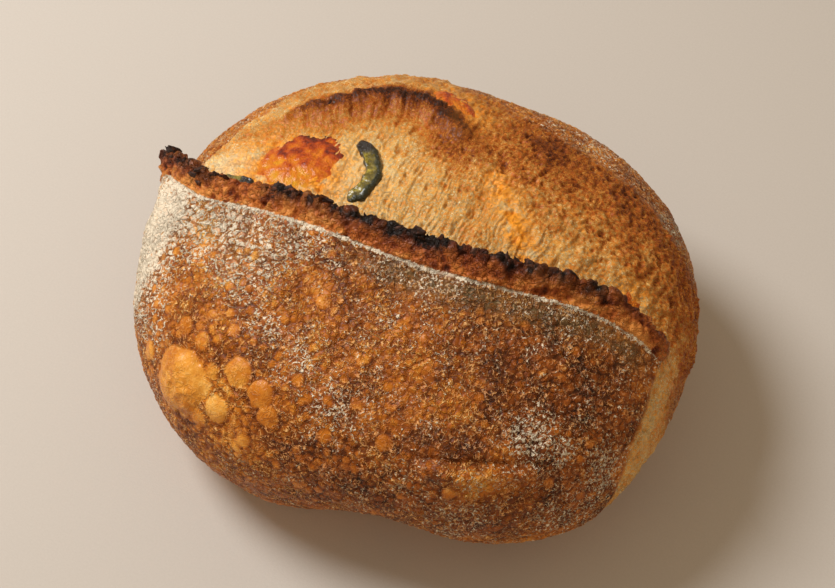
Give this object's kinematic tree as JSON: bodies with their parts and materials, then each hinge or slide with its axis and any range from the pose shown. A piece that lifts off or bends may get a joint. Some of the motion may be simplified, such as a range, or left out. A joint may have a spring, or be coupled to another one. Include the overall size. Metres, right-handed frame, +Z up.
{
  "type": "sourdough loaf",
  "caption": "Round crusty sourdough loaf with a raised ear along its cut, a floured front and cheese and jalapeno in the torn crumb; rests on its flat base.",
  "frame": {"origin": "middle of the loaf's box on the table surface that it rests on", "axes": "+X along the ear, +Y from the floured front to the back, +Z up"},
  "size_m": [0.2106, 0.185, 0.1069],
  "materials": {
    "crust": "matt baked crust, amber to dark brown, dusted with flour",
    "baked_cheese": "melted and browned, slightly glossy",
    "jalapeno": "roasted skin, slightly glossy"
  },
  "bodies": {
    "root": {"loaf": "crust", "cheese_patch": "baked_cheese", "cheese_back": "baked_cheese", "cheese_bit": "baked_cheese", "jalapeno_slice": "jalapeno", "jalapeno_sliver": "jalapeno"}
  },
  "joints": []
}
